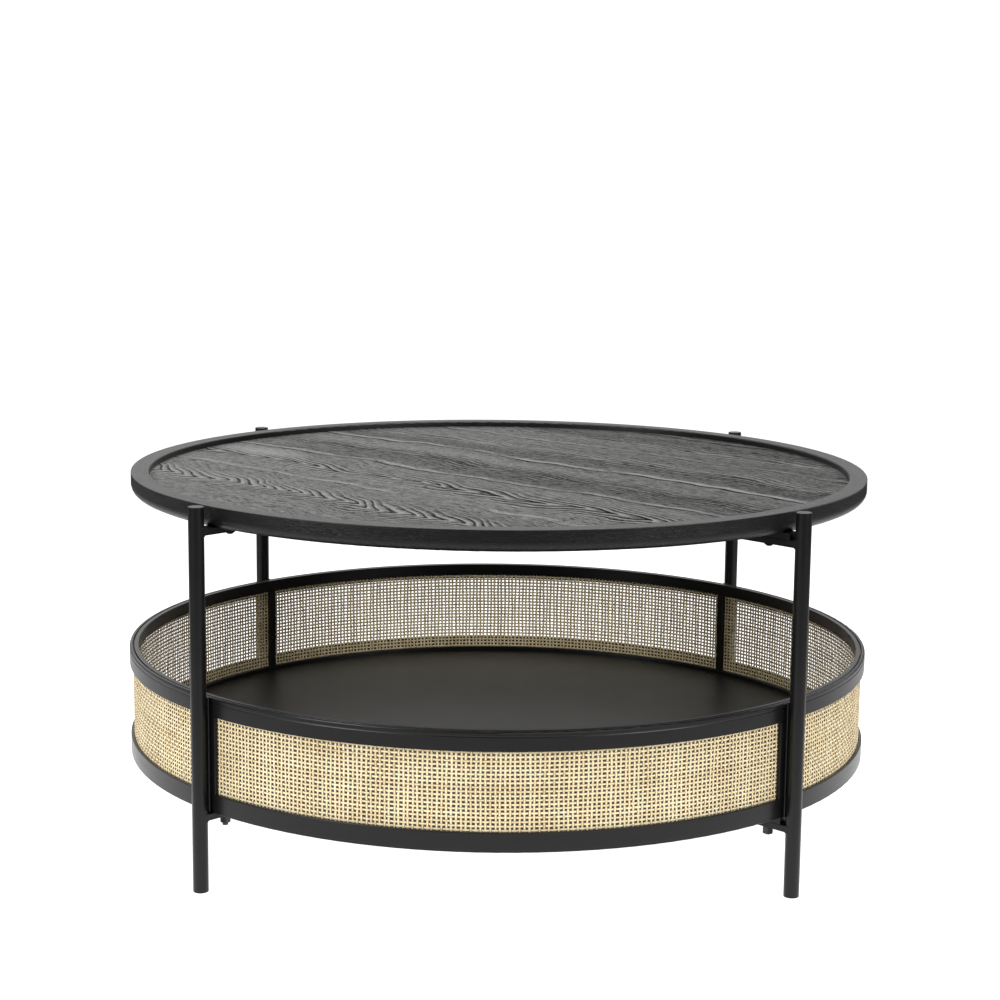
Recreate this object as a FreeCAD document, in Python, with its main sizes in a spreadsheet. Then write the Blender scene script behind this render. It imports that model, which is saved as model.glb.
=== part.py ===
import FreeCAD, Part
import math
import os

import Sketcher

# Round coffee table: a tray top and an open cane basket hang between four upright steel legs.
# Millimetres, +Z up, origin on the ground at the centre; the front is towards -Y.
# Frame a joins the front left and rear right legs, frame b the front right and rear left ones.
# The bars of frame b pass under those of frame a, so spacers fill the gap above frame b.

DIMENSIONS = {
    # legs and their plugs
    "overall_height": 397,
    "leg_diameter": 16,
    "leg_wall": 1.5,
    "leg_circle_radius": 425,
    "cap_flange": 2,
    "glide_flange": 3,
    "plug_length": 10,
    "plug_round": 0.6,
    # diagonal bars, spacers and the places of their fasteners
    "bar_width": 16,
    "bar_thickness": 7,
    "bar_round": 0.6,
    "spacer_start": 370,
    "spacer_end": 414,
    "bar_hole_radius": 3.3,
    "top_screw_radius": 383,
    "basket_bolt_radius": 393,
    # tray top
    "top_diameter": 820,
    "rim_width": 20,
    "rim_height": 22.5,
    "rim_drop": 1.5,
    "rim_below_caps": 1,
    "rim_top_round": 1,
    "rim_bottom_round": 10,
    "rim_inner_round": 1.5,
    "tray_depth": 6.5,
    "rabbet_width": 6,
    "rabbet_height": 11,
    "bar_notch_clearance": 0.3,
    # basket
    "basket_diameter": 829,
    "basket_bottom": 82,
    "basket_height": 120,
    "outer_ply": 3.6,
    "inner_ply": 5.2,
    "ply_round": 0.8,
    "bead_height": 5.3,
    "bead_top_round": 1.8,
    "bead_foot_round": 1.2,
    "bead_groove_depth": 0.45,
    "bead_groove_width": 1.6,
    "cane_thickness": 1,
    "cane_clearance": 0.1,
    "cane_inset": 2,
    "outer_hoop_height": 20,
    "upper_inner_height": 14,
    "lower_inner_height": 7.8,
    "floor_thickness": 3.2,
    "floor_clearance": 0.2,
    "post_width": 8,
    "cover_width": 24,
    "post_proud": 2.1,
    "post_round": 0.5,
    "rib_round": 1.5,
    # fasteners: metric size 6
    "shank_radius": 3,
    "thread_bore": 3.05,
    "insert_radius": 4.5,
    "insert_length": 10,
    "insert_hole_depth": 11,
    "screw_reach": 8,
    "button_head_radius": 5.25,
    "button_head_height": 3.3,
    "hex_key_radius": 2,
    "hex_key_depth": 2,
    "countersunk_radius": 5.4,
    "countersunk_depth": 2.4,
    "nut_across_corners": 11.5,
    "nut_height": 9,
    "nut_chamfer": 0.9,
    "short_bolt_end": 2.5,
    "long_bolt_end": 0.5,
}

LEG_AZIMUTHS = {"front_left": 225, "front_right": 315, "rear_right": 45, "rear_left": 135}
FRAME_AZIMUTHS = {"a": 45, "b": 135}

doc = FreeCAD.newDocument("wicker_coffee_table")
sheet = doc.addObject("Spreadsheet::Sheet", "Dims")
for row, (alias, number) in enumerate(DIMENSIONS.items(), start=1):
    sheet.set("A%d" % row, alias)
    sheet.set("B%d" % row, str(number))
    sheet.setAlias("B%d" % row, alias)
doc.recompute()

parts = []


def bound(text):
    """Turn every alias in an expression into a reference to the sheet."""
    words = text.replace("(", " ( ").replace(")", " ) ").split()
    return " ".join("Dims." + word if word in DIMENSIONS else word for word in words)


def number_of(text):
    """The present value of an expression over the sheet's cells."""
    result = sheet.evalExpression(bound(text))
    return float(getattr(result, "Value", result))


# Levels and radii that several pieces share, as expressions over the sheet.
RIM_TOP = "( overall_height - rim_below_caps )"
RIM_UNDERSIDE = "( overall_height - rim_below_caps - rim_height )"
TOP_UNDERSIDE = "( overall_height - rim_below_caps - rim_height + rim_drop )"
TRAY_SURFACE = "( overall_height - rim_below_caps - tray_depth )"
TOP_RADIUS = "( top_diameter / 2 )"
RIM_INNER_RADIUS = "( top_diameter / 2 - rim_width )"
RABBET_RADIUS = "( top_diameter / 2 - rim_width + rabbet_width )"
RABBET_ROOF = "( overall_height - rim_below_caps - rim_height + rim_drop + rabbet_height )"
LEG_RADIUS = "( leg_diameter / 2 )"
BORE_RADIUS = "( leg_diameter / 2 - leg_wall )"
BASKET_TOP = "( basket_bottom + basket_height )"
BASKET_RADIUS = "( basket_diameter / 2 )"
CANE_OUTER = "( basket_diameter / 2 - outer_ply - cane_clearance )"
CANE_INNER = "( basket_diameter / 2 - outer_ply - cane_clearance - cane_thickness )"
INNER_PLY_OUTER = "( basket_diameter / 2 - outer_ply - 2 * cane_clearance - cane_thickness )"
INNER_PLY_INNER = "( basket_diameter / 2 - outer_ply - 2 * cane_clearance - cane_thickness - inner_ply )"
BAR_DROP = {"a": "0", "b": "bar_thickness"}
BOLT_END = {"a": "short_bolt_end", "b": "long_bolt_end"}


def new_body(label, azimuth=0.0):
    """A body turned about the table's centre line, registered as a sub-part."""
    body = doc.addObject("PartDesign::Body", label)
    body.Label = label
    body.AllowCompound = True
    body.Placement = FreeCAD.Placement(
        FreeCAD.Vector(0, 0, 0), FreeCAD.Rotation(FreeCAD.Vector(0, 0, 1), azimuth)
    )
    parts.append(body)
    return body


def origin_feature(body, role):
    return next(item for item in body.Origin.OriginFeatures if item.Role == role)


def new_sketch(body, plane, name, level=None):
    """A sketch on one of the body's own planes, raised by an expression if given."""
    sketch = body.newObject("Sketcher::SketchObject", body.Label + "_" + name)
    sketch.AttachmentSupport = [(origin_feature(body, plane), "")]
    sketch.MapMode = "FlatFace"
    if level is not None:
        sketch.setExpression("AttachmentOffset.Base.z", bound(level))
    return sketch


def bind_point(sketch, geometry, position, texts):
    """Tie a point to the sheet with one horizontal and one vertical dimension from the origin."""
    for kind, axis, text in zip(("DistanceX", "DistanceY"), (-2, -1), texts):
        value = number_of(text)
        if abs(value) < 1e-9:
            sketch.addConstraint(Sketcher.Constraint("PointOnObject", geometry, position, axis))
            continue
        if value > 0:
            constraint = Sketcher.Constraint(kind, -1, 1, geometry, position, value)
        else:
            constraint = Sketcher.Constraint(kind, geometry, position, -1, 1, -value)
            text = "0 - ( %s )" % text
        index = sketch.addConstraint(constraint)
        sketch.setExpression("Constraints[%d]" % index, bound(text))


def add_outline(sketch, corners):
    """A closed outline of straight lines; each corner is a pair of expressions."""
    first = sketch.GeometryCount
    points = [FreeCAD.Vector(number_of(x), number_of(y), 0) for x, y in corners]
    count = len(points)
    for index in range(count):
        sketch.addGeometry(Part.LineSegment(points[index], points[(index + 1) % count]), False)
    for index in range(count):
        following = first + (index + 1) % count
        sketch.addConstraint(Sketcher.Constraint("Coincident", first + index, 2, following, 1))
        bind_point(sketch, first + index, 1, corners[index])


def add_circle(sketch, centre, radius):
    """A circle with its centre and radius bound to the sheet."""
    middle = FreeCAD.Vector(number_of(centre[0]), number_of(centre[1]), 0)
    circle = Part.Circle(middle, FreeCAD.Vector(0, 0, 1), number_of(radius))
    index = sketch.addGeometry(circle, False)
    size = sketch.addConstraint(Sketcher.Constraint("Radius", index, number_of(radius)))
    sketch.setExpression("Constraints[%d]" % size, bound(radius))
    bind_point(sketch, index, 3, centre)


def add_axis(sketch, offset):
    """An upright construction line to revolve a fastener's outline about."""
    place = number_of(offset)
    top = FreeCAD.Vector(place, 1, 0)
    line = sketch.addGeometry(Part.LineSegment(FreeCAD.Vector(place, 0, 0), top), True)
    bind_point(sketch, line, 1, (offset, "0"))
    sketch.addConstraint(Sketcher.Constraint("Vertical", line))
    sketch.addConstraint(Sketcher.Constraint("DistanceY", line, 1, line, 2, 1))


def revolve(body, sketch, axis="V_Axis", kind="PartDesign::Revolution"):
    """Turn a sketch all the way round, adding or (as a Groove) cutting."""
    feature = body.newObject(kind, sketch.Label + "_turned")
    feature.Profile = sketch
    feature.ReferenceAxis = (sketch, [axis])
    feature.Angle = 360
    sketch.Visibility = False
    doc.recompute()
    return feature


def pad(body, sketch, length, symmetric=False):
    feature = body.newObject("PartDesign::Pad", sketch.Label + "_pad")
    feature.Profile = sketch
    feature.SideType = "Symmetric" if symmetric else "One side"
    feature.setExpression("Length", bound(length))
    doc.recompute()
    return feature


def cut_through(body, sketch):
    """Cut a sketch right through the body both ways, and make sure that it did cut."""
    before = body.Shape.Volume
    feature = body.newObject("PartDesign::Pocket", sketch.Label + "_cut")
    feature.Profile = sketch
    feature.SideType = "Symmetric"
    feature.Type = "ThroughAll"
    doc.recompute()
    if body.Shape.Volume >= before:
        raise RuntimeError("%s cuts nothing" % feature.Label)
    return feature


def cut_upwards(body, sketch, depth):
    feature = body.newObject("PartDesign::Pocket", sketch.Label + "_cut")
    feature.Profile = sketch
    feature.Reversed = True
    feature.setExpression("Length", bound(depth))
    doc.recompute()
    return feature


def round_about(body, feature, count):
    """Repeat a feature evenly about the table's centre line."""
    pattern = body.newObject("PartDesign::PolarPattern", feature.Label + "_repeated")
    pattern.Originals = [feature]
    pattern.Axis = (origin_feature(body, "Z_Axis"), [""])
    pattern.Angle = 360
    pattern.Occurrences = count
    body.Tip = pattern
    doc.recompute()
    return pattern


def round_edges(body, radius, wanted):
    """Round those edges of the body so far that pass a test."""
    base = body.Tip
    names = ["Edge%d" % (i + 1) for i, edge in enumerate(base.Shape.Edges) if wanted(edge)]
    if not names:
        raise RuntimeError("%s has no such edge" % body.Label)
    fillet = body.newObject("PartDesign::Fillet", "%s_round_%d" % (body.Label, len(body.Group)))
    fillet.Base = (base, names)
    fillet.setExpression("Radius", bound(radius))
    doc.recompute()
    return fillet


def is_ring(edge, radius=None, level=None):
    """True for a circular edge, of a radius and at a level if they are given."""
    curve = edge.Curve
    if curve.TypeId != "Part::GeomCircle":
        return False
    if radius is not None and abs(curve.Radius - number_of(radius)) > 0.01:
        return False
    return level is None or abs(curve.Center.z - number_of(level)) < 0.01


def ring(label, inner, outer, bottom, top, rounding=None):
    """A plain ring of rectangular section about the centre line."""
    body = new_body(label)
    sketch = new_sketch(body, "XZ_Plane", "section")
    add_outline(sketch, [(inner, bottom), (outer, bottom), (outer, top), (inner, top)])
    revolve(body, sketch)
    if rounding is not None:
        round_edges(body, rounding, is_ring)
    return body


def top_rim():
    """The raised rim: a rabbet laps over the panel, and four notches below let the bars pass."""
    body = new_body("top_rim", FRAME_AZIMUTHS["a"])
    sketch = new_sketch(body, "XZ_Plane", "section")
    add_outline(
        sketch,
        [
            (RABBET_RADIUS, RIM_UNDERSIDE),
            (TOP_RADIUS, RIM_UNDERSIDE),
            (TOP_RADIUS, RIM_TOP),
            (RIM_INNER_RADIUS, RIM_TOP),
            (RIM_INNER_RADIUS, RABBET_ROOF),
            (RABBET_RADIUS, RABBET_ROOF),
        ],
    )
    revolve(body, sketch)
    round_edges(body, "rim_bottom_round", lambda edge: is_ring(edge, TOP_RADIUS, RIM_UNDERSIDE))
    round_edges(body, "rim_top_round", lambda edge: is_ring(edge, TOP_RADIUS, RIM_TOP))
    round_edges(body, "rim_inner_round", lambda edge: is_ring(edge, RIM_INNER_RADIUS, RIM_TOP))
    notch = new_sketch(body, "XY_Plane", "notch", RIM_UNDERSIDE)
    half = "( bar_width / 2 + bar_notch_clearance )"
    add_outline(
        notch,
        [
            (RIM_INNER_RADIUS, "0 - " + half),
            (TOP_RADIUS, "0 - " + half),
            (TOP_RADIUS, half),
            (RIM_INNER_RADIUS, half),
        ],
    )
    solid = body.Shape.Volume
    round_about(body, cut_upwards(body, notch, "rim_drop"), 4)
    if body.Shape.Volume >= solid:
        raise RuntimeError("the notches cut nothing")


def top_panel():
    """The round panel: a lapped edge, and blind holes below for the threaded inserts."""
    body = new_body("top_panel", FRAME_AZIMUTHS["a"])
    disc = new_sketch(body, "XZ_Plane", "half_section")
    add_outline(
        disc,
        [
            ("0", TOP_UNDERSIDE),
            (RABBET_RADIUS, TOP_UNDERSIDE),
            (RABBET_RADIUS, RABBET_ROOF),
            (RIM_INNER_RADIUS, RABBET_ROOF),
            (RIM_INNER_RADIUS, TRAY_SURFACE),
            ("0", TRAY_SURFACE),
        ],
    )
    revolve(body, disc)
    hole = new_sketch(body, "XZ_Plane", "insert_hole")
    reach = "top_screw_radius + insert_radius"
    roof = TOP_UNDERSIDE + " + insert_hole_depth"
    add_outline(
        hole,
        [
            ("top_screw_radius", TOP_UNDERSIDE),
            (reach, TOP_UNDERSIDE),
            (reach, roof),
            ("top_screw_radius", roof),
        ],
    )
    add_axis(hole, "top_screw_radius")
    solid = body.Shape.Volume
    round_about(body, revolve(body, hole, "Axis0", "PartDesign::Groove"), 4)
    if body.Shape.Volume >= solid:
        raise RuntimeError("the insert holes cut nothing")


def threaded_inserts():
    """Four threaded sleeves, one for each screw."""
    body = new_body("threaded_inserts", FRAME_AZIMUTHS["a"])
    sketch = new_sketch(body, "XY_Plane", "sleeve", TOP_UNDERSIDE)
    centre = ("top_screw_radius", "0")
    add_circle(sketch, centre, "insert_radius")
    add_circle(sketch, centre, "thread_bore")
    round_about(body, pad(body, sketch, "insert_length"), 4)


def leg(name, azimuth):
    """An upright round tube, between its glide and its cap."""
    body = new_body(name + "_leg", azimuth)
    sketch = new_sketch(body, "XY_Plane", "section", "glide_flange")
    centre = ("leg_circle_radius", "0")
    add_circle(sketch, centre, LEG_RADIUS)
    add_circle(sketch, centre, BORE_RADIUS)
    pad(body, sketch, "overall_height - cap_flange - glide_flange")


def leg_plugs(label, flange_levels, plug_end):
    """Four plugs: a flange as wide as the tube, and a stem that fills its bore."""
    face, seat = flange_levels
    body = new_body(label, FRAME_AZIMUTHS["a"])
    sketch = new_sketch(body, "XZ_Plane", "outline")
    wide = "leg_circle_radius + " + LEG_RADIUS
    narrow = "leg_circle_radius + " + BORE_RADIUS
    add_outline(
        sketch,
        [
            ("leg_circle_radius", face),
            (wide, face),
            (wide, seat),
            (narrow, seat),
            (narrow, plug_end),
            ("leg_circle_radius", plug_end),
        ],
    )
    add_axis(sketch, "leg_circle_radius")
    revolve(body, sketch, "Axis0")
    turned = body.Tip
    fillet = round_edges(body, "plug_round", lambda edge: is_ring(edge, LEG_RADIUS, face))
    pattern = round_about(body, turned, 4)
    pattern.Originals = [turned, fillet]
    doc.recompute()


def bar(frame, level_name, ceiling, bolt_radius):
    """A flat bar across the table, coped to the two legs that it is welded to."""
    body = new_body("%s_bar_%s" % (level_name, frame), FRAME_AZIMUTHS[frame])
    low = "%s - %s - bar_thickness" % (ceiling, BAR_DROP[frame])
    flat = new_sketch(body, "XY_Plane", "plan", low)
    half = "bar_width / 2"
    add_outline(
        flat,
        [
            ("0 - leg_circle_radius", "0 - " + half),
            ("leg_circle_radius", "0 - " + half),
            ("leg_circle_radius", half),
            ("0 - leg_circle_radius", half),
        ],
    )
    pad(body, flat, "bar_thickness")
    long_edge = number_of("leg_circle_radius")
    round_edges(body, "bar_round", lambda edge: edge.Length > long_edge)
    holes = new_sketch(body, "XY_Plane", "holes", low)
    for side in ("", "0 - "):
        add_circle(holes, (side + "leg_circle_radius", "0"), LEG_RADIUS)
        add_circle(holes, (side + bolt_radius, "0"), "bar_hole_radius")
    cut_through(body, holes)


def spacers(label, ceiling, bolt_radius):
    """A pair of packers between the bar of frame b and what it carries."""
    body = new_body(label, FRAME_AZIMUTHS["b"])
    plan = new_sketch(body, "XY_Plane", "plan", ceiling + " - bar_thickness")
    half = "bar_width / 2"
    add_outline(
        plan,
        [
            ("spacer_start", "0 - " + half),
            ("spacer_end", "0 - " + half),
            ("spacer_end", half),
            ("spacer_start", half),
        ],
    )
    add_circle(plan, (bolt_radius, "0"), "bar_hole_radius")
    round_about(body, pad(body, plan, "bar_thickness"), 2)


def top_screws(frame):
    """A pair of button-head screws, up through the bars into the inserts."""
    body = new_body("top_screws_" + frame, FRAME_AZIMUTHS[frame])
    under = "%s - %s - bar_thickness" % (TOP_UNDERSIDE, BAR_DROP[frame])
    crown = under + " - button_head_height"
    axis = "top_screw_radius"
    outline = new_sketch(body, "XZ_Plane", "outline")
    add_outline(
        outline,
        [
            (axis, crown + " + hex_key_depth"),
            (axis + " + hex_key_radius", crown + " + hex_key_depth"),
            (axis + " + hex_key_radius", crown),
            (axis + " + button_head_radius / 2", crown),
            (axis + " + button_head_radius", under + " - button_head_height / 3"),
            (axis + " + button_head_radius", under),
            (axis + " + shank_radius", under),
            (axis + " + shank_radius", TOP_UNDERSIDE + " + screw_reach"),
            (axis, TOP_UNDERSIDE + " + screw_reach"),
        ],
    )
    add_axis(outline, axis)
    round_about(body, revolve(body, outline, "Axis0"), 2)


def nut_ceiling(frame):
    """The underside of a frame's lower bar, which its nuts bear on."""
    return "basket_bottom - %s - bar_thickness" % BAR_DROP[frame]


def basket_bolts(frame):
    """A pair of countersunk bolts, down through the basket floor and the lower bars."""
    body = new_body("basket_bolts_" + frame, FRAME_AZIMUTHS[frame])
    face = "basket_bottom + floor_thickness"
    end = "%s - nut_height - %s" % (nut_ceiling(frame), BOLT_END[frame])
    axis = "basket_bolt_radius"
    outline = new_sketch(body, "XZ_Plane", "outline")
    add_outline(
        outline,
        [
            (axis, end),
            (axis + " + shank_radius", end),
            (axis + " + shank_radius", face + " - countersunk_depth"),
            (axis + " + countersunk_radius", face),
            (axis + " + hex_key_radius", face),
            (axis + " + hex_key_radius", face + " - hex_key_depth"),
            (axis, face + " - hex_key_depth"),
        ],
    )
    add_axis(outline, axis)
    round_about(body, revolve(body, outline, "Axis0"), 2)


def basket_nuts(frame):
    """A pair of hexagon nuts under the lower bars, chamfered at their free side."""
    body = new_body("basket_nuts_" + frame, FRAME_AZIMUTHS[frame])
    low = nut_ceiling(frame) + " - nut_height"
    axis = "basket_bolt_radius"
    corners = []
    for corner in range(6):
        turn = 60 * corner
        corners.append(
            (
                "basket_bolt_radius + nut_across_corners / 2 * %.6f" % math.cos(math.radians(turn)),
                "nut_across_corners / 2 * %.6f" % math.sin(math.radians(turn)),
            )
        )
    plan = new_sketch(body, "XY_Plane", "plan", low)
    add_outline(plan, corners)
    add_circle(plan, (axis, "0"), "thread_bore")
    hexagon = pad(body, plan, "nut_height")
    chamfer = new_sketch(body, "XZ_Plane", "chamfer")
    corner_reach = axis + " + nut_across_corners / 2"
    add_outline(
        chamfer,
        [
            (corner_reach + " - 2 * nut_chamfer", low),
            (corner_reach + " + nut_chamfer", low),
            (corner_reach + " + nut_chamfer", low + " + 1.5 * nut_chamfer"),
        ],
    )
    add_axis(chamfer, axis)
    solid = body.Shape.Volume
    groove = revolve(body, chamfer, "Axis0", "PartDesign::Groove")
    if body.Shape.Volume >= solid:
        raise RuntimeError("the nut's chamfer cuts nothing")
    pattern = round_about(body, hexagon, 2)
    pattern.Originals = [hexagon, groove]
    doc.recompute()


def basket_floor():
    """The round floor panel, countersunk for the four bolts."""
    body = new_body("basket_floor", FRAME_AZIMUTHS["a"])
    disc = new_sketch(body, "XY_Plane", "disc", "basket_bottom")
    add_circle(disc, ("0", "0"), INNER_PLY_INNER + " - floor_clearance")
    pad(body, disc, "floor_thickness")
    axis = "basket_bolt_radius"
    face = "basket_bottom + floor_thickness"
    hole = new_sketch(body, "XZ_Plane", "bolt_hole")
    add_outline(
        hole,
        [
            (axis, "basket_bottom"),
            (axis + " + shank_radius", "basket_bottom"),
            (axis + " + shank_radius", face + " - countersunk_depth"),
            (axis + " + countersunk_radius", face),
            (axis, face),
        ],
    )
    add_axis(hole, axis)
    solid = body.Shape.Volume
    round_about(body, revolve(body, hole, "Axis0", "PartDesign::Groove"), 4)
    if body.Shape.Volume >= solid:
        raise RuntimeError("the bolt holes cut nothing")


def outer_post(name, azimuth):
    """A strip that covers the cane between the outer hoops, with a narrow rib down the leg side."""
    body = new_body(name + "_outer_post", azimuth)
    back = "basket_diameter / 2 - outer_ply + cane_clearance"
    lap = "basket_diameter / 2 + cane_clearance"
    face = "basket_diameter / 2 + post_proud"
    low_shoulder = "basket_bottom + outer_hoop_height"
    high_shoulder = BASKET_TOP + " - outer_hoop_height"
    rib = new_sketch(body, "XZ_Plane", "rib")
    add_outline(
        rib,
        [
            (lap, "basket_bottom"),
            (face, "basket_bottom"),
            (face, BASKET_TOP),
            (lap, BASKET_TOP),
            (lap, high_shoulder),
            (back, high_shoulder),
            (back, low_shoulder),
            (lap, low_shoulder),
        ],
    )
    pad(body, rib, "post_width", symmetric=True)
    cover = new_sketch(body, "XZ_Plane", "cover")
    add_outline(
        cover,
        [
            (back, low_shoulder),
            (BASKET_RADIUS, low_shoulder),
            (BASKET_RADIUS, high_shoulder),
            (back, high_shoulder),
        ],
    )
    pad(body, cover, "cover_width", symmetric=True)
    for rounding, radius, width in (
        ("rib_round", face, "post_width"),
        ("post_round", BASKET_RADIUS, "cover_width"),
    ):
        corner = (number_of(radius), number_of(width) / 2)

        def front_edge(edge):
            upright = edge.BoundBox.ZLength > edge.Length - 0.01
            place = (edge.CenterOfMass.x, abs(edge.CenterOfMass.y))
            return upright and math.dist(place, corner) < 0.01

        round_edges(body, rounding, front_edge)


def inner_post(name, azimuth):
    """A batten inside the cane, standing between the two inner hoops."""
    body = new_body(name + "_inner_post", azimuth)
    profile = new_sketch(body, "XZ_Plane", "profile")
    low = "basket_bottom + lower_inner_height"
    high = BASKET_TOP + " - upper_inner_height"
    back = INNER_PLY_OUTER + " - cane_clearance"
    add_outline(
        profile, [(INNER_PLY_INNER, low), (back, low), (back, high), (INNER_PLY_INNER, high)]
    )
    pad(body, profile, "post_width", symmetric=True)
    inner_face = number_of(INNER_PLY_INNER)
    height = number_of(high) - number_of(low)

    def front_edge(edge):
        upright = abs(edge.Length - height) < 0.01
        return upright and abs(edge.CenterOfMass.x - inner_face) < 0.01

    round_edges(body, "post_round", front_edge)


def upper_outer_hoop(inner):
    """The outer ply of the top hoop: a flat band, a fine groove, and a rounded bead above it."""
    body = new_body("upper_outer_hoop")
    sketch = new_sketch(body, "XZ_Plane", "section")
    groove = BASKET_TOP + " - bead_height"
    bead_foot = groove + " + bead_groove_width / 2"
    band_top = groove + " - bead_groove_width / 2"
    band_foot = BASKET_TOP + " - outer_hoop_height"
    add_outline(
        sketch,
        [
            (inner, band_foot),
            (BASKET_RADIUS, band_foot),
            (BASKET_RADIUS, band_top),
            (BASKET_RADIUS + " - bead_groove_depth", groove),
            (BASKET_RADIUS, bead_foot),
            (BASKET_RADIUS, BASKET_TOP),
            (inner, BASKET_TOP),
        ],
    )
    revolve(body, sketch)
    for rounding, radius, level in (
        ("bead_top_round", BASKET_RADIUS, BASKET_TOP),
        ("bead_foot_round", BASKET_RADIUS, bead_foot),
        ("ply_round", inner, BASKET_TOP),
        ("ply_round", inner, band_foot),
        ("ply_round", BASKET_RADIUS, band_foot),
    ):
        round_edges(body, rounding, lambda edge: is_ring(edge, radius, level))


def basket():
    """Two double hoops that clamp the cane, four pairs of posts and the floor."""
    outer_inside = "basket_diameter / 2 - outer_ply"
    low_outer_top = "basket_bottom + outer_hoop_height"
    low_inner_top = "basket_bottom + lower_inner_height"
    high_inner_bottom = BASKET_TOP + " - upper_inner_height"
    outer = (outer_inside, BASKET_RADIUS)
    inner = (INNER_PLY_INNER, INNER_PLY_OUTER)
    upper_outer_hoop(outer_inside)
    ring("upper_inner_hoop", *inner, high_inner_bottom, BASKET_TOP, "ply_round")
    ring("lower_outer_hoop", *outer, "basket_bottom", low_outer_top, "ply_round")
    ring("lower_inner_hoop", *inner, "basket_bottom", low_inner_top, "ply_round")
    cane_levels = ("basket_bottom + cane_inset", BASKET_TOP + " - cane_inset")
    ring("cane_webbing", CANE_INNER, CANE_OUTER, *cane_levels)
    basket_floor()
    for name, azimuth in LEG_AZIMUTHS.items():
        outer_post(name, azimuth)
        inner_post(name, azimuth)


def check_and_export():
    """Stop on any failed object or bad solid, then write one STEP file for each sub-part."""
    for item in doc.Objects:
        if "Invalid" in item.State or "Error" in item.State:
            raise RuntimeError("%s failed: %s" % (item.Label, item.State))
    for body in parts:
        shape = body.Shape
        if shape.isNull() or not shape.isValid() or not shape.Solids:
            raise RuntimeError("%s has no sound solid" % body.Label)
    os.makedirs("parts", exist_ok=True)
    for body in parts:
        body.Shape.exportStep(os.path.join("parts", body.Label + ".step"))
        print(body.Label, len(body.Shape.Solids), round(body.Shape.Volume))


top_rim()
top_panel()
threaded_inserts()
for leg_name, leg_azimuth in LEG_AZIMUTHS.items():
    leg(leg_name, leg_azimuth)
leg_plugs(
    "leg_caps",
    ("overall_height", "overall_height - cap_flange"),
    "overall_height - cap_flange - plug_length",
)
leg_plugs("leg_glides", ("0", "glide_flange"), "glide_flange + plug_length")
for frame_name in FRAME_AZIMUTHS:
    bar(frame_name, "upper", TOP_UNDERSIDE, "top_screw_radius")
    bar(frame_name, "lower", "basket_bottom", "basket_bolt_radius")
    top_screws(frame_name)
    basket_bolts(frame_name)
    basket_nuts(frame_name)
spacers("upper_spacers", TOP_UNDERSIDE, "top_screw_radius")
spacers("lower_spacers", "basket_bottom", "basket_bolt_radius")
basket()
doc.recompute()
check_and_export()
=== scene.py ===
import math

import bpy
import numpy as np
from mathutils import Matrix, Vector


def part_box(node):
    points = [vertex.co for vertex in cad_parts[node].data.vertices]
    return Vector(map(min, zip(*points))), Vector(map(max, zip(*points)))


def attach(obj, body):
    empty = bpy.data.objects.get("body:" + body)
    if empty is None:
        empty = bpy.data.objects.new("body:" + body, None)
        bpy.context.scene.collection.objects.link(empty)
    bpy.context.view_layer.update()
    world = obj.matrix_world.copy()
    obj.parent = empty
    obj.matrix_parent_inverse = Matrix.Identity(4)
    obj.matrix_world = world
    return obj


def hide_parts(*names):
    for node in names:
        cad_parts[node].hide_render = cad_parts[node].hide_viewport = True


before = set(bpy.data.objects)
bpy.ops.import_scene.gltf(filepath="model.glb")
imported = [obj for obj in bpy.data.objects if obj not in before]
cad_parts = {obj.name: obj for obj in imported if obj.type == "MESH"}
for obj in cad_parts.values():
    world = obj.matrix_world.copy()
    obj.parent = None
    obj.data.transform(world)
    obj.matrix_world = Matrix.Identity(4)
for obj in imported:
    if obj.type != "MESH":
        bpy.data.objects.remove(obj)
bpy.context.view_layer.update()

# A round coffee table: a stained ash tray top, four black steel legs, and an open basket of
# square-woven cane held between bentwood hoops. Lengths are in metres and the front is towards
# -Y. Materials measure in millimetres.

MM = 0.001
LEGS = {"front_left": 225, "front_right": 315, "rear_right": 45, "rear_left": 135}
LEGS_OF_FRAME_A = ("front_left", "rear_right")
LEG_CIRCLE = 0.425
LEG_RADIUS = 0.008


# ---------------------------------------------------------------- materials

# The specular level of the black finishes, and the radius at which lengths along a ring are true.
BLACK_GLOSS = 0.28
RING_RADIUS = 405.0


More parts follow.
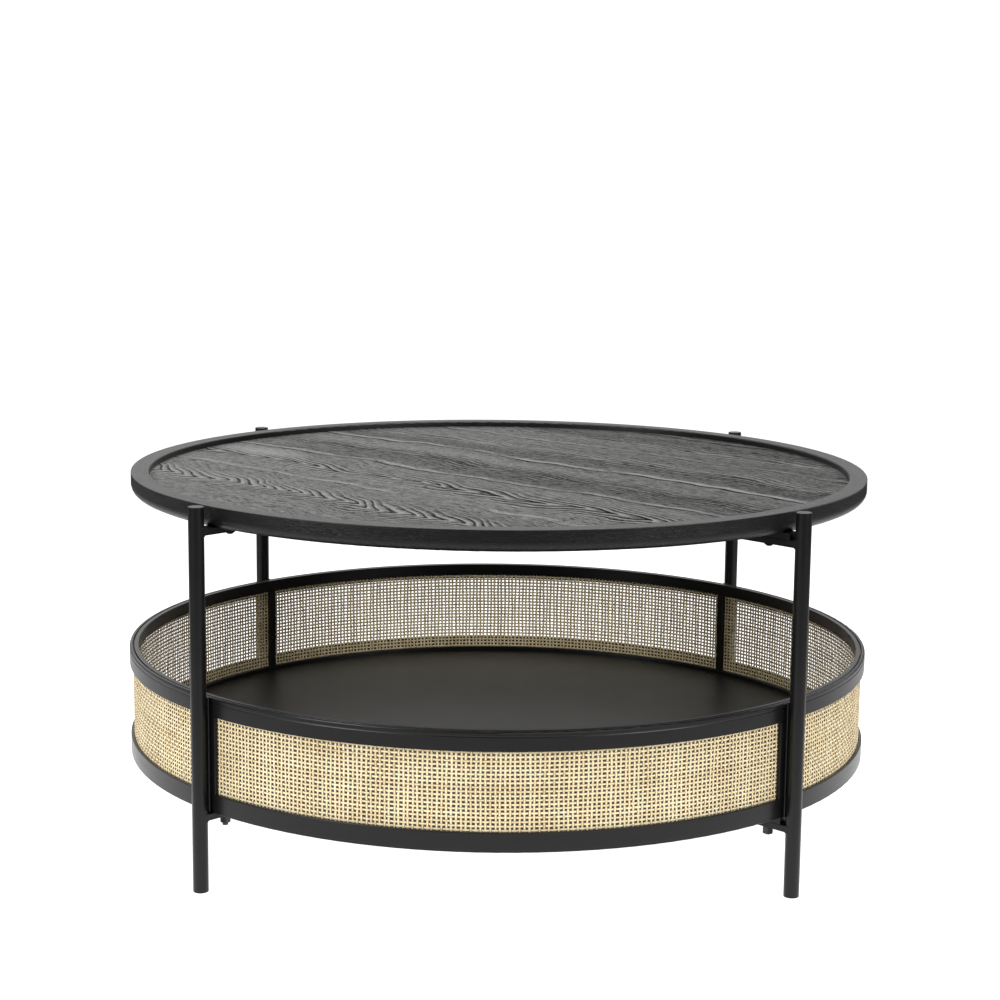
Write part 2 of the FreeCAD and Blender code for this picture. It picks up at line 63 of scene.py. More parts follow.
class Paint:
    """A procedural material. Its methods add nodes and return their output sockets."""

    def __init__(self, name, **constants):
        self.material = bpy.data.materials.new(name)
        self.material.use_nodes = True
        self.nodes = self.material.node_tree.nodes
        self.links = self.material.node_tree.links
        self.shader = self.nodes["Principled BSDF"]
        for name, value in constants.items():
            self.set(name.replace("_", " "), value)

    def feed(self, socket, value):
        """Link a socket to another one, or give it a constant."""
        if isinstance(value, bpy.types.NodeSocket):
            self.links.new(value, socket)
        elif isinstance(value, tuple) and len(value) == 3 and socket.type == "RGBA":
            socket.default_value = (*value, 1)
        else:
            socket.default_value = value

    def set(self, socket, value):
        self.feed(self.shader.inputs[socket], value)

    def node(self, kind, output=0, settings=None, **inputs):
        """Add a node with its settings and inputs. An underscore in an input's name is a space."""
        made = self.nodes.new(kind)
        for name, value in (settings or {}).items():
            setattr(made, name, value)
        for name, value in inputs.items():
            self.feed(made.inputs[name.replace("_", " ")], value)
        return made.outputs[output]

    def maths(self, operation, *values):
        made = self.nodes.new("ShaderNodeMath")
        made.operation = operation
        for socket, value in zip(made.inputs, values):
            self.feed(socket, value)
        return made.outputs[0]

    def add(self, *values):
        total = values[0]
        for value in values[1:]:
            total = self.maths("ADD", total, value)
        return total

    def scaled(self, value, factor, offset=0.0):
        return self.maths("MULTIPLY_ADD", value, factor, offset)

    def times(self, a, b):
        return self.maths("MULTIPLY", a, b)

    def position(self):
        """Object position in millimetres, as three sockets."""
        place = self.node("ShaderNodeTexCoord", "Object")
        split = self.nodes.new("ShaderNodeSeparateXYZ")
        self.links.new(place, split.inputs[0])
        return [self.scaled(axis, 1000.0) for axis in split.outputs]

    def point(self, x, y, z):
        return self.node("ShaderNodeCombineXYZ", X=x, Y=y, Z=z)

    def noise(self, vector, detail=2.0, roughness=0.5, scale=1.0):
        return self.node(
            "ShaderNodeTexNoise",
            "Fac",
            Vector=vector,
            Scale=scale,
            Detail=detail,
            Roughness=roughness,
        )

    def grain(self, *axes, detail=2.0, roughness=0.5):
        """Noise stretched along its axes: each one is a socket with the length of its features
        in millimetres, a socket taken as it is, or a constant that keeps this noise apart."""
        place = [self.scaled(axis[0], 1 / axis[1]) if isinstance(axis, tuple) else axis for axis in axes]
        return self.noise(self.point(*place), detail, roughness)

    def ramp(self, value, stops, interpolation="LINEAR"):
        """A colour ramp. A stop's level is a colour or a plain number."""
        made = self.nodes.new("ShaderNodeValToRGB")
        band = made.color_ramp
        band.interpolation = interpolation
        while len(band.elements) < len(stops):
            band.elements.new(0.5)
        for element, (place, colour) in zip(band.elements, stops):
            element.position = place
            element.color = (*colour, 1) if isinstance(colour, tuple) else (colour,) * 3 + (1,)
        self.links.new(value, made.inputs[0])
        return made.outputs[0]

    def spread(self, value, low, high, to_low=0.0, to_high=1.0):
        """A clamped linear change of range."""
        made = self.nodes.new("ShaderNodeMapRange")
        for name, number in (
            ("Value", value), ("From Min", low), ("From Max", high),
            ("To Min", to_low), ("To Max", to_high),
        ):
            self.feed(made.inputs[name], number)
        return made.outputs[0]

    def bump(self, height, depth):
        """A height of 0 to 1 stands for a depth in millimetres."""
        made = self.nodes.new("ShaderNodeBump")
        made.inputs["Strength"].default_value = 1.0
        made.inputs["Distance"].default_value = depth * MM
        self.links.new(height, made.inputs["Height"])
        self.links.new(made.outputs[0], self.shader.inputs["Normal"])


def along_ring(paint):
    """Coordinates that follow a ring: length along it from the front, radius and height."""
    x, y, z = paint.position()
    angle = paint.maths("ARCTAN2", x, paint.scaled(y, -1.0))
    radius = paint.maths("SQRT", paint.add(paint.times(x, x), paint.times(y, y)))
    return paint.scaled(angle, RING_RADIUS), radius, z


# The veneer's leaves: the width of each one, where the first one starts, measured across the
# grain from the centre, and the direction of the grain.
LEAF_WIDTH = 141.0
FIRST_LEAF = -481.5
GRAIN_ANGLE = math.radians(-44)
# How each leaf was cut: how fast the ring cones narrow along the grain, how strongly they show,
# and how strongly the joint with the leaf before it shows, as a dark line with a painted sheen line
# beside it.
LEAF_CUTS = [
    (0.30, 0.35, 0.10),
    (0.45, 0.60, 0.12),
    (0.20, 0.64, 0.55),
    (0.05, 0.30, 0.70),
    (0.06, 0.35, 1.00),
    (0.08, 0.30, 0.40),
    (0.08, 0.30, 0.40),
]
LEAF_COUNT = len(LEAF_CUTS)
# The distance between growth rings where they are cut square.
RING_PITCH = 9.5
# A worn, lighter patch: its middle and its reach, along the grain and across it.
PATCH_ALONG = -300
PATCH_ACROSS = -96
PATCH_LENGTH = 75
PATCH_WIDTH = 30
# Broad lighter and darker stripes across the grain, in millimetres from the centre.
STRIPES = [
    (-480, 0.50), (-340, 0.45), (-300, 0.50), (-265, 0.75), (-225, 0.40), (-190, 0.55),
    (-60, 0.50), (-40, 0.25), (15, 0.20), (45, 0.50), (90, 0.40), (110, 0.20), (145, 0.25),
    (170, 0.50), (215, 0.30), (260, 0.35), (285, 0.50), (315, 0.20), (375, 0.10),
]


def veneer():
    """Black-stained ash veneer: flat-sawn leaves side by side, with open pores."""
    paint = Paint("stained_ash_veneer")
    x, y, _ = paint.position()
    cosine, sine = math.cos(GRAIN_ANGLE), math.sin(GRAIN_ANGLE)
    along = paint.add(paint.scaled(x, cosine), paint.scaled(y, sine))
    straight = paint.add(paint.scaled(x, -sine), paint.scaled(y, cosine))
    sway = paint.grain((along, 135), (straight, 170), 8.2)
    across = paint.add(straight, paint.scaled(sway, 62.0, -31.0))

    # Which leaf, how far across it, and the tone there.
    in_leaves = paint.scaled(across, 1 / LEAF_WIDTH, -FIRST_LEAF / LEAF_WIDTH)
    share = paint.scaled(in_leaves, 1 / LEAF_COUNT)
    leaf = paint.maths("FLOOR", in_leaves)
    leaf_place = paint.maths("FRACT", in_leaves)
    cuts = [(i / LEAF_COUNT, cut) for i, cut in enumerate(LEAF_CUTS)]
    cut = paint.node("ShaderNodeSeparateColor", Color=paint.ramp(share, cuts, "CONSTANT"))
    taper, figure, joint_and_sheen_strength = cut.node.outputs
    leaves_width = LEAF_WIDTH * LEAF_COUNT
    tone = paint.ramp(
        share, [((place - FIRST_LEAF) / leaves_width, level) for place, level in STRIPES]
    )
    wander = paint.grain((along, 120), leaf, 3.1)
    sideways = paint.scaled(
        paint.add(leaf_place, paint.scaled(wander, 0.22, -0.11)), LEAF_WIDTH, -0.5 * LEAF_WIDTH
    )

    # Growth rings: nested cones whose tips point towards the front right.
    warp = paint.grain((along, 110), (across, 55), leaf)
    jag = paint.grain((along, 16), (across, 5), leaf)
    heart = paint.maths("SQRT", paint.maths("MULTIPLY_ADD", sideways, sideways, 5.0))
    rings = paint.add(
        heart, paint.times(taper, along), paint.scaled(warp, 12.0), paint.scaled(jag, 2.2)
    )
    ripple = paint.grain((rings, 26), leaf, 0.5, detail=1.0)
    phase = paint.maths(
        "FRACT", paint.add(paint.scaled(rings, 1 / RING_PITCH), paint.scaled(ripple, 1.2))
    )
    # Each ring: a dark porous band, then a lighter latewood band. The latewood's lightness is partly its
    # own tone and partly painted sheen, peaking in a thin painted highlight.
    ring_tone_and_sheen = paint.ramp(
        phase,
        [
            (0.0, 0.45),
            (0.10, 0.0),
            (0.34, 0.06),
            (0.43, 1.0),
            (0.62, 0.80),
            (0.78, 0.48),
            (1.0, 0.45),
        ],
    )
    near_heart = paint.spread(heart, 12.0, 36.0, 1.0, 0.10)
    figure = paint.times(figure, near_heart)

    # Pores, fibres and broad bands, drawn out along the grain.
    pores = paint.grain((along, 6.0), (across, 0.8), 0.0, roughness=0.6)
    flecks = paint.grain((along, 17), (across, 2.3), 7.0, roughness=0.6)
    pore = paint.add(
        paint.scaled(paint.spread(pores, 0.50, 0.62), 0.5),
        paint.scaled(paint.spread(flecks, 0.50, 0.60), 0.5),
    )
    fibres = paint.grain((along, 34), (across, 1.6), 4.0, detail=3.0, roughness=0.65)
    bands = paint.grain((along, 420), (across, 34), leaf)

    # Joints between leaves: a dark line, and beside it a painted sheen line, that come and go.
    joint_line_and_sheen = paint.ramp(
        leaf_place,
        [(0.0, 0.0), (0.030, 0.05), (0.046, 1.0), (0.085, 0.95), (0.115, 0.5), (1.0, 0.5)],
    )
    joint_and_sheen_fade = paint.grain((along, 70), leaf, 5.5, detail=1.0)
    joint_and_sheen_strength = paint.times(joint_and_sheen_strength, paint.spread(joint_and_sheen_fade, 0.36, 0.58, 0.25, 1.0))

    patch_place = paint.point(
        paint.scaled(along, 1 / PATCH_LENGTH, -PATCH_ALONG / PATCH_LENGTH),
        paint.scaled(across, 1 / PATCH_WIDTH, -PATCH_ACROSS / PATCH_WIDTH),
        0.0,
    )
    from_patch = paint.node(
        "ShaderNodeVectorMath", "Value", {"operation": "LENGTH"}, Vector=patch_place
    )
    light = paint.add(
        paint.spread(from_patch, 0.2, 1.3, 0.44, 0.0),
        paint.times(paint.scaled(ring_tone_and_sheen, 2.1, -1.12), figure),
        paint.scaled(tone, 0.75, -0.05),
        paint.scaled(bands, 0.5, -0.20),
        paint.scaled(fibres, 0.9, -0.40),
        paint.scaled(pore, -0.75),
        paint.times(paint.scaled(joint_line_and_sheen, 1.4, -0.70), joint_and_sheen_strength),
        paint.scaled(along, -0.0003),
        0.30,
    )
    stain = [
        (0.0, (0.003, 0.003, 0.003)),
        (0.45, (0.020, 0.020, 0.018)),
        (1.0, (0.085, 0.086, 0.077)),
    ]
    paint.set("Base Color", paint.ramp(light, stain))
    paint.set("Roughness", paint.spread(light, 0.0, 1.0, 0.66, 0.42))
    paint.set("Specular IOR Level", paint.spread(light, 0.0, 0.9, 0.01, 0.70))
    relief = paint.add(
        paint.scaled(pore, -0.8),
        paint.scaled(fibres, 0.25),
        paint.times(paint.scaled(ring_tone_and_sheen, 0.5), figure),
    )
    paint.bump(relief, 0.30)
    return paint.material


def ring_wood(name, dark, pale, roughness, relief, pore_share):
    """Stained wood whose grain follows the ring."""
    paint = Paint(name, Specular_IOR_Level=BLACK_GLOSS)
    length, radius, height = along_ring(paint)
    fibres = paint.grain((length, 30), (radius, 1.3), (height, 1.3), detail=3.0, roughness=0.6)
    pores = paint.grain((length, 5), (radius, 0.7), (height, 0.7))
    pore = paint.scaled(paint.spread(pores, 0.52, 0.64), pore_share)
    clouds = paint.grain((length, 120), (radius, 9), (height, 9))
    light = paint.add(
        paint.scaled(fibres, 0.7), paint.scaled(clouds, 0.5, -0.1), paint.scaled(pore, -0.45)
    )
    paint.set("Base Color", paint.ramp(light, [(0.15, dark), (0.95, pale)]))
    paint.set("Roughness", paint.spread(light, 0.0, 1.0, roughness + 0.08, roughness - 0.06))
    paint.bump(paint.add(paint.scaled(fibres, 0.4), paint.scaled(pore, -0.6)), relief)
    return paint.material


def upright_wood(name, dark, pale, roughness):
    """Black-lacquered battens with grain running up them."""
    paint = Paint(name, Specular_IOR_Level=BLACK_GLOSS)
    x, y, z = paint.position()
    fibres = paint.grain((x, 0.9), (y, 0.9), (z, 26), detail=3.0, roughness=0.6)
    paint.set("Base Color", paint.ramp(fibres, [(0.2, dark), (0.8, pale)]))
    paint.set("Roughness", paint.spread(fibres, 0.2, 0.8, roughness + 0.05, roughness - 0.05))
    paint.bump(fibres, 0.05)
    return paint.material


def powder_coat(name, colour, roughness):
    """Satin black powder coat: fine orange peel, faint clouding."""
    paint = Paint(name, Specular_IOR_Level=BLACK_GLOSS)
    place = paint.point(*paint.position())
    peel = paint.noise(place, 2.0, 0.5, 0.55)
    clouds = paint.noise(place, 2.0, 0.5, 0.02)
    darker = tuple(0.85 * channel for channel in colour)
    paler = tuple(1.15 * channel for channel in colour)
    paint.set("Base Color", paint.ramp(clouds, [(0.3, darker), (0.7, paler)]))
    paint.set("Roughness", paint.spread(peel, 0.3, 0.7, roughness - 0.03, roughness + 0.04))
    paint.bump(peel, 0.03)
    return paint.material


def plated(name, colour, roughness):
    """Blackened or plated steel fasteners, scuffed on their high spots."""
    paint = Paint(name, Metallic=1.0)
    place = paint.point(*paint.position())
    scuffs = paint.noise(place, 4.0, 0.6, 0.9)
    scuffed = tuple(min(1.0, 2.2 * channel) for channel in colour)
    paint.set("Base Color", paint.ramp(scuffs, [(0.35, colour), (0.75, scuffed)]))
    paint.set("Roughness", paint.spread(scuffs, 0.3, 0.8, roughness, roughness - 0.1))
    paint.bump(scuffs, 0.02)
    return paint.material


def floor_board():
    """Satin black board on the basket's floor, with a faint rubbed cloudiness."""
    paint = Paint("floor_board", Specular_IOR_Level=0.30)
    place = paint.point(*paint.position())
    clouds = paint.noise(place, 3.0, 0.5, 0.008)
    grit = paint.noise(place, 2.0, 0.5, 0.9)
    black = [(0.3, (0.0036, 0.0042, 0.0034)), (0.7, (0.0056, 0.0063, 0.0053))]
    paint.set("Base Color", paint.ramp(clouds, black))
    paint.set("Roughness", paint.spread(clouds, 0.3, 0.7, 0.37, 0.41))
    paint.bump(grit, 0.003)
    return paint.material


def cane():
    """Natural cane. The mesh gives each point's length along its strand, its distance from the
    strand's middle, both in millimetres, and the strand's number."""
    paint = Paint("natural_cane")
    strand = paint.node("ShaderNodeAttribute", "Vector", {"attribute_name": "strand"})
    split = paint.nodes.new("ShaderNodeSeparateXYZ")
    paint.links.new(strand, split.inputs[0])
    along, across, number = split.outputs
    own = paint.node("ShaderNodeTexWhiteNoise", "Value", {"noise_dimensions": "1D"}, W=number)
    patches = paint.grain((along, 26), number, 0.0)
    clusters = paint.grain((along, 60), (number, 7), 3.3)
    fibres = paint.grain((along, 9), (across, 0.22), number, detail=3.0, roughness=0.6)
    # Painted shade: each strand is darker towards both its edges, drawing the shade where strands turn
    # away and meet.
    edge_shade = paint.spread(paint.maths("ABSOLUTE", across), 0.72, 1.08, 0.0, -0.55)
    flaws = paint.grain((along, 4.5), number, 9.1, detail=1.0)
    light = paint.add(
        edge_shade,
        0.045,
        paint.scaled(own, 0.24),
        paint.scaled(patches, 0.24),
        paint.scaled(clusters, 0.50),
        paint.scaled(fibres, 0.42, -0.21),
        paint.spread(flaws, 0.70, 0.78, 0.0, -0.22),
    )
    straw = [
        (0.0, (0.22, 0.12, 0.03)),
        (0.12, (0.40, 0.275, 0.12)),
        (0.28, (0.64, 0.50, 0.275)),
        (0.46, (0.80, 0.665, 0.40)),
        (0.72, (0.90, 0.80, 0.54)),
    ]
    paint.set("Base Color", paint.ramp(light, straw))
    paint.set("Roughness", paint.spread(fibres, 0.2, 0.8, 0.55, 0.40))
    paint.bump(fibres, 0.05)
    return paint.material


# ---------------------------------------------------------------- woven cane

CANE_RADIUS = 0.4103
CANE_BOTTOM = 0.084
CANE_TOP = 0.200
ROWS = 27
ROW_PITCH = (CANE_TOP - CANE_BOTTOM) / ROWS
UPRIGHTS = 548
UPRIGHT_PITCH = 2 * math.pi / UPRIGHTS
ROW_WIDTH = 2.18 * MM
UPRIGHT_WIDTH = 2.48 * MM
STRAND_THICKNESS = 0.42 * MM
WEAVE_OFFSET = 0.25 * MM
# The section of a strand, with its chamfered face outward, as shares of its width and thickness.
SECTION = [(-0.5, -0.5), (0.5, -0.5), (0.5, 0.18), (0.24, 0.5), (-0.24, 0.5), (-0.5, 0.18)]
# How unevenly the loom lays the strands: stray rows, stray uprights as a share of their pitch,
# uprights that sway by a share of their pitch, and the small scatter of every crossing.
ROW_STRAY = 0.07 * MM
UPRIGHT_STRAY = 0.042
UPRIGHT_SWAY = 0.07
CROSSING_STRAY = 0.05 * MM
# Each strand's number varies its colour. Rows and uprights start from different numbers.
FIRST_ROW_NUMBER = 1000
FIRST_UPRIGHT_NUMBER = 200
PANELS = {"cane_right": 0, "cane_back": 90, "cane_left": 180, "cane_front": 270}


def weave_grid():
    """Where every row crosses every upright, as angles and heights, and the random source."""
    random = np.random.default_rng(7)
    rows = np.arange(ROWS)
    columns = np.arange(UPRIGHTS)
    heights = CANE_BOTTOM + (rows + 0.5) * ROW_PITCH + random.normal(0, ROW_STRAY, ROWS)
    angles = (
        (columns + 0.5) * UPRIGHT_PITCH
        + random.normal(0, UPRIGHT_STRAY, UPRIGHTS) * UPRIGHT_PITCH
    )
    sway = UPRIGHT_SWAY * UPRIGHT_PITCH * np.sin(
        rows[:, None] * random.uniform(0.15, 0.35) + random.uniform(0, 6.3, UPRIGHTS)[None, :]
    )
    droop = sum(
        random.uniform(0.1, 0.2) * MM * np.sin(turns * angles[None, :] + random.uniform(0, 6.3))
        for turns in (3, 7, 16)
    )
    ripple = random.normal(0, CROSSING_STRAY, (ROWS, UPRIGHTS))
    return angles[None, :] + sway, heights[:, None] + droop + ripple, random


def new_piece(name, vertices, faces):
    """A smooth-shaded mesh object in the scene."""
    mesh = bpy.data.meshes.new(name)
    mesh.from_pydata(vertices, [], faces)
    mesh.update()
    mesh.shade_smooth()
    piece = bpy.data.objects.new(name, mesh)
    bpy.context.scene.collection.objects.link(piece)
    return piece


def sweep(angle, height, radius, width, start, number, upright):
    """One flat strand through a line of points: its vertices, faces and strand attribute."""
    count = len(angle)
    sides = len(SECTION)
    outward = np.stack([np.cos(angle), np.sin(angle), np.zeros(count)], 1)
    forward = np.stack([-np.sin(angle), np.cos(angle), np.zeros(count)], 1)
    side = -forward if upright else np.tile([0.0, 0.0, 1.0], (count, 1))
    middle = outward * radius[:, None] + np.array([0, 0, 1]) * height[:, None]
    across = np.array([share for share, _ in SECTION]) * width
    above = np.array([share for _, share in SECTION]) * STRAND_THICKNESS
    points = (
        middle[:, None, :]
        + side[:, None, :] * across[None, :, None]
        + outward[:, None, :] * above[None, :, None]
    )
    travelled = np.concatenate([[0], np.cumsum(np.linalg.norm(np.diff(middle, axis=0), axis=1))])
    strand = np.stack(
        [
            np.repeat(travelled / MM, sides),
            np.tile(across / MM, count),
            np.full(count * sides, float(number)),
        ],
        1,
    )
    base = start + np.arange(count - 1)[:, None] * sides
    corner = np.arange(sides)[None, :]
    following = (corner + 1) % sides
    quads = np.stack(
        [base + corner, base + following, base + sides + following, base + sides + corner], -1
    ).reshape(-1, 4)
    last = start + (count - 1) * sides
    caps = [list(range(start + sides - 1, start - 1, -1)), list(range(last, last + sides))]
    return points.reshape(-1, 3), quads, caps, strand


def cane_panel(name, azimuth, grid_angle, grid_height, random):
    """A quarter of the band, from post to post, every strand over one and under the next."""
    quarter = UPRIGHTS // 4
    first = round((azimuth - 45) / 360 * UPRIGHTS)
    columns = np.arange(first, first + quarter)
    turns = np.where(columns < 0, -2 * math.pi, 0)
    angle = grid_angle[:, columns % UPRIGHTS] + turns[None, :]
    height = grid_height[:, columns % UPRIGHTS]
    parity = np.where((np.arange(ROWS)[:, None] + columns[None, :]) % 2 == 0, 1.0, -1.0)
    # A strand keeps its level for half a pitch over each crossing, then changes sides.
    along_row = np.tile([-0.25 * UPRIGHT_PITCH, 0.25 * UPRIGHT_PITCH], quarter)
    up_column = np.tile([-0.25 * ROW_PITCH, 0.25 * ROW_PITCH], ROWS)
    lines = []
    for row in range(ROWS):
        lines.append((
            np.repeat(angle[row], 2) + along_row,
            np.repeat(height[row], 2),
            CANE_RADIUS + WEAVE_OFFSET * np.repeat(parity[row], 2),
            ROW_WIDTH * random.uniform(0.93, 1.07),
            FIRST_ROW_NUMBER + row,
            False,
        ))
    for column in range(quarter):
        lines.append((
            np.repeat(angle[:, column], 2),
            np.repeat(height[:, column], 2) + up_column,
            CANE_RADIUS - WEAVE_OFFSET * np.repeat(parity[:, column], 2),
            UPRIGHT_WIDTH * random.uniform(0.90, 1.08),
            FIRST_UPRIGHT_NUMBER + int(columns[column]),
            True,
        ))
    vertices, faces, caps, strands = [], [], [], []
    start = 0
    for angles, heights, radii, width, number, upright in lines:
        points, quads, ends, strand = sweep(angles, heights, radii, width, start, number, upright)
        vertices.append(points)
        faces.append(quads)
        caps += ends
        strands.append(strand)
        start += len(points)
    piece = new_piece(name, np.concatenate(vertices), np.concatenate(faces).tolist() + caps)
    attribute = piece.data.attributes.new("strand", "FLOAT_VECTOR", "POINT")
    attribute.data.foreach_set("vector", np.concatenate(strands).astype(np.float32).ravel())
    return piece


# ---------------------------------------------------------------- weld beads

# A bead's radius and the height of its ripples, in millimetres, how fast they follow each other,
# and how far the bead reaches round the tube to either side, in degrees.
BEAD_RADIUS = 0.80
BEAD_RIPPLE = 0.12
BEAD_RIPPLE_RATE = 61
BEAD_HALF_SPAN = 84
BEAD_STEPS = 46
BEAD_SIDES = 8
# How far a bead's middle stands off the tube and the bar, as a share of its radius.
BEAD_STAND_OFF = 0.35


def weld_bead(name, azimuth, level, drop):
    """A rippled fillet where a bar's flat face meets its leg, nearly half way round the tube and
    tapered at both ends. Drop is 1 on a bar's top face and -1 on its underside."""
    turned = math.radians(azimuth)
    axis = Vector((LEG_CIRCLE * math.cos(turned), LEG_CIRCLE * math.sin(turned), level))
    vertices, faces = [], []
    for step in range(BEAD_STEPS + 1):
        share = step / BEAD_STEPS
        turn = math.radians(azimuth + 180 - BEAD_HALF_SPAN + 2 * BEAD_HALF_SPAN * share)
        taper = min(1.0, 6 * share + 0.25, 6 * (1 - share) + 0.25)
        size = (BEAD_RADIUS + BEAD_RIPPLE * math.sin(share * BEAD_RIPPLE_RATE)) * MM * taper
        outward = Vector((math.cos(turn), math.sin(turn), 0))
        stand_off = size * BEAD_STAND_OFF
        for corner in range(BEAD_SIDES):
            around = 2 * math.pi * corner / BEAD_SIDES
            vertices.append(
                axis
                + outward * (LEG_RADIUS + stand_off + size * math.cos(around))
                + Vector((0, 0, drop * stand_off + size * math.sin(around)))
            )
    for step in range(BEAD_STEPS):
        for corner in range(BEAD_SIDES):
            a = step * BEAD_SIDES + corner
            b = step * BEAD_SIDES + (corner + 1) % BEAD_SIDES
            faces.append((a, a + BEAD_SIDES, b + BEAD_SIDES, b))
    last = BEAD_STEPS * BEAD_SIDES
    faces.append(tuple(range(BEAD_SIDES)))
    faces.append(tuple(range(last + BEAD_SIDES - 1, last - 1, -1)))
    return new_piece(name, vertices, faces)


# ---------------------------------------------------------------- the object

def finish_node(name, material):
    """Give a CAD node a procedural material in place of its packed one."""
    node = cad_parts[name]
    if not node.material_slots:
        node.data.materials.append(None)
    for material_slot in node.material_slots:
        material_slot.link = "OBJECT"
        material_slot.material = material


steel = powder_coat("satin_black_steel", (0.0045, 0.0045, 0.0047), 0.33)
steel_bars = powder_coat("satin_black_bars", (0.0055, 0.0055, 0.0057), 0.36)
rim_wood = ring_wood(
    "stained_ash_rim",
    dark=(0.0022, 0.0022, 0.0022),
    pale=(0.011, 0.011, 0.0105),
    roughness=0.34,
    relief=0.12,
    pore_share=1.0,
)
hoop_wood = ring_wood(
    "lacquered_hoop",
    dark=(0.0045, 0.0045, 0.0047),
    pale=(0.0085, 0.0085, 0.0088),
    roughness=0.30,
    relief=0.03,
    pore_share=0.25,
)
post_wood = upright_wood(
    "lacquered_post",
    dark=(0.0050, 0.0050, 0.0052),
    pale=(0.0095, 0.0095, 0.0099),
    roughness=0.32,
)
screws = plated("black_oxide_screws", (0.020, 0.020, 0.021), 0.42)
nuts = plated("dulled_zinc_nuts", (0.045, 0.044, 0.042), 0.45)
brass = plated("brass_inserts", (0.55, 0.40, 0.16), 0.40)
plastic = powder_coat("black_plastic", (0.006, 0.006, 0.006), 0.32)

finish_node("top_panel", veneer())
finish_node("top_rim", rim_wood)
finish_node("threaded_inserts", brass)
finish_node("basket_floor", floor_board())
for name in ("leg_caps", "leg_glides", "upper_spacers", "lower_spacers"):
    finish_node(name, plastic)
for leg in LEGS:
    finish_node(leg + "_leg", steel)
    finish_node(leg + "_outer_post", post_wood)
    finish_node(leg + "_inner_post", post_wood)
for frame_name in ("a", "b"):
    finish_node("upper_bar_" + frame_name, steel_bars)
    finish_node("lower_bar_" + frame_name, steel_bars)
    finish_node("top_screws_" + frame_name, screws)
    finish_node("basket_bolts_" + frame_name, nuts)
    finish_node("basket_nuts_" + frame_name, nuts)
for level in ("upper", "lower"):
    finish_node(level + "_outer_hoop", hoop_wood)
    finish_node(level + "_inner_hoop", hoop_wood)

cane_material = cane()
grid_angle, grid_height, weave_random = weave_grid()
for name, azimuth in PANELS.items():
    panel = cane_panel(name, azimuth, grid_angle, grid_height, weave_random)
    panel.data.materials.append(cane_material)
    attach(panel, "root")
    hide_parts("cane_webbing")

for leg, azimuth in LEGS.items():
    frame_name = "a" if leg in LEGS_OF_FRAME_A else "b"
    for level in ("upper", "lower"):
        low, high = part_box("%s_bar_%s" % (level, frame_name))
        for side, height, drop in (("top", high.z, 1), ("bottom", low.z, -1)):
            bead = weld_bead("%s_%s_weld_%s" % (leg, level, side), azimuth, height, drop)
            bead.data.materials.append(steel_bars)
            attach(bead, "root")


# ---------------------------------------------------------------- studio

FLOOR_RADIUS = 2.1
FLOOR_CORNERS = 96
# The paper's own glow: its strength in the middle, and the distances from the middle where it
# starts to fade and where it has gone. The camera never sees the paper darker than the last one.
FLOOR_GLOW = 1.15
GLOW_FADES_FROM = 0.5
GLOW_ENDS_AT = 1.4
FLOOR_AS_SEEN = 0.92
# How bright the studio is in each direction: an axis of the direction looked in, the kind of
# change along it, the range it changes over, and the brightness at either end. The three multiply.
STUDIO_BRIGHTNESS = (
    ("Y", "SMOOTHSTEP", -0.35, 0.75, 0.10, 0.95),
    ("Z", "LINEAR", 0.0, 0.14, 0.04, 1.0),
    ("X", "LINEAR", -0.5, 0.5, 1.20, 0.80),
)
STUDIO_AS_SEEN = 1.1
CAMERA_PLACE = (-0.012, -2.345, 0.746)
CAMERA_AIM = (0.0013, 0.0, 0.3565)
CAMERA_ROLL = math.radians(0.6)
CAMERA_LENS = 75.6
SENSOR_WIDTH = 36


def stage_floor():
    """A round sheet of white paper that glows round the table, so that shadows stay faint."""
    paint = Paint(
        "studio_floor", Base_Color=(0.30, 0.30, 0.30), Roughness=0.9, Emission_Color=(1, 1, 1)
    )
    seen = paint.node("ShaderNodeLightPath", "Is Camera Ray")
    place = paint.node("ShaderNodeTexCoord", "Object")
    distance = paint.node("ShaderNodeVectorMath", "Value", {"operation": "LENGTH"}, Vector=place)
    glow = paint.spread(distance, GLOW_FADES_FROM, GLOW_ENDS_AT, FLOOR_GLOW, 0.0)
    paint.set(
        "Emission Strength", paint.maths("MAXIMUM", glow, paint.scaled(seen, FLOOR_AS_SEEN))
    )
    angles = [2 * math.pi * corner / FLOOR_CORNERS for corner in range(FLOOR_CORNERS)]
    rim = [(FLOOR_RADIUS * math.cos(a), FLOOR_RADIUS * math.sin(a), 0) for a in angles]
    mesh = bpy.data.meshes.new("studio_floor")
    mesh.from_pydata(rim, [], [tuple(range(FLOOR_CORNERS))])
    mesh.materials.append(paint.material)
    floor = bpy.data.objects.new("studio_floor", mesh)
    bpy.context.scene.collection.objects.link(floor)


def area_light(name, place, aim, size, power):
    """A white rectangular light. Its size is its width and height, its power is in watts."""
    data = bpy.data.lights.new(name, "AREA")
    data.shape = "RECTANGLE"
    data.size, data.size_y = size
    data.energy = power
    lamp = bpy.data.objects.new(name, data)
    lamp.location = place
    lamp.rotation_euler = (Vector(aim) - Vector(place)).to_track_quat("-Z", "Y").to_euler()
    bpy.context.scene.collection.objects.link(lamp)


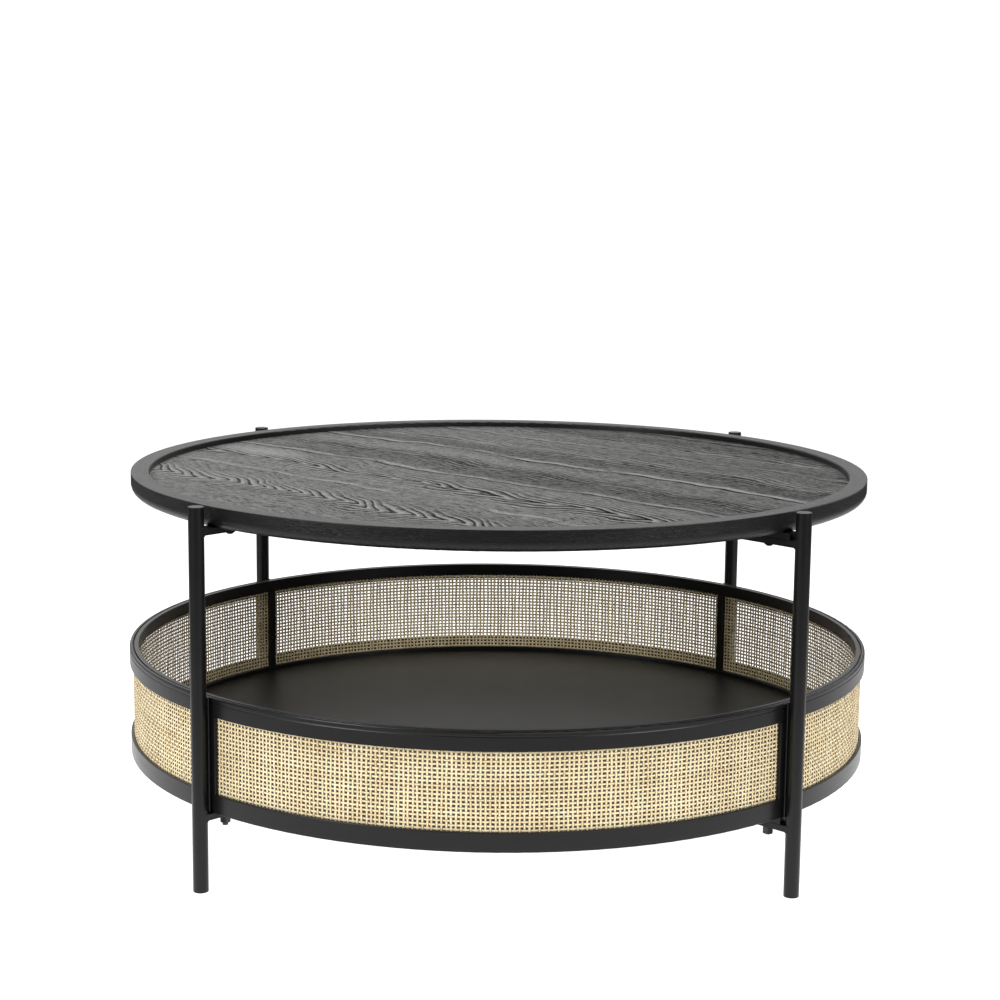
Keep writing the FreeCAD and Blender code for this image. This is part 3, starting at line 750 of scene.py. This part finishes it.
def studio_world():
    """Bright behind the table and to its left, dim in front and low down; the camera itself
    sees plain white."""
    world = bpy.data.worlds.new("studio")
    world.use_nodes = True
    nodes, links = world.node_tree.nodes, world.node_tree.links
    nodes.clear()
    output = nodes.new("ShaderNodeOutputWorld")
    place = nodes.new("ShaderNodeTexCoord")
    split = nodes.new("ShaderNodeSeparateXYZ")
    links.new(place.outputs["Generated"], split.inputs[0])
    strength = None
    for axis, interpolation, *numbers in STUDIO_BRIGHTNESS:
        share = nodes.new("ShaderNodeMapRange")
        share.interpolation_type = interpolation
        for name, number in zip(("From Min", "From Max", "To Min", "To Max"), numbers):
            share.inputs[name].default_value = number
        links.new(split.outputs[axis], share.inputs["Value"])
        if strength is None:
            strength = share.outputs[0]
            continue
        product = nodes.new("ShaderNodeMath")
        product.operation = "MULTIPLY"
        links.new(strength, product.inputs[0])
        links.new(share.outputs[0], product.inputs[1])
        strength = product.outputs[0]
    lit = nodes.new("ShaderNodeBackground")
    lit.inputs["Color"].default_value = (1, 1, 1, 1)
    links.new(strength, lit.inputs["Strength"])
    seen = nodes.new("ShaderNodeBackground")
    seen.inputs["Color"].default_value = (1, 1, 1, 1)
    seen.inputs["Strength"].default_value = STUDIO_AS_SEEN
    path = nodes.new("ShaderNodeLightPath")
    choice = nodes.new("ShaderNodeMixShader")
    links.new(path.outputs["Is Camera Ray"], choice.inputs[0])
    links.new(lit.outputs[0], choice.inputs[1])
    links.new(seen.outputs[0], choice.inputs[2])
    links.new(choice.outputs[0], output.inputs["Surface"])
    bpy.context.scene.world = world


def camera():
    """The camera fitted to the outlines of the top, the hoops and the legs."""
    eye = Vector(CAMERA_PLACE)
    forward = (Vector(CAMERA_AIM) - eye).normalized()
    level = forward.cross(Vector((0, 0, 1))).normalized()
    upright = level.cross(forward)
    right = level * math.cos(CAMERA_ROLL) + upright * math.sin(CAMERA_ROLL)
    up = upright * math.cos(CAMERA_ROLL) - level * math.sin(CAMERA_ROLL)
    turned = Matrix((right, up, -forward)).transposed().to_4x4()
    data = bpy.data.cameras.new("camera")
    data.sensor_width = SENSOR_WIDTH
    data.lens = CAMERA_LENS
    view = bpy.data.objects.new("camera", data)
    view.matrix_world = Matrix.Translation(eye) @ turned
    bpy.context.scene.collection.objects.link(view)
    bpy.context.scene.camera = view


stage_floor()
studio_world()
area_light("left_softbox", place=(-2.1, -1.9, 1.55), aim=(0, 0, 0.2), size=(1.1, 1.8), power=61)
area_light("right_softbox", place=(2.1, -1.9, 1.55), aim=(0, 0, 0.2), size=(1.1, 1.8), power=56)
area_light("overhead", place=(0, 0.5, 3.0), aim=(0, 0.2, 0.0), size=(3.4, 3.4), power=130)
camera()
bpy.context.scene.view_settings.view_transform = "Standard"
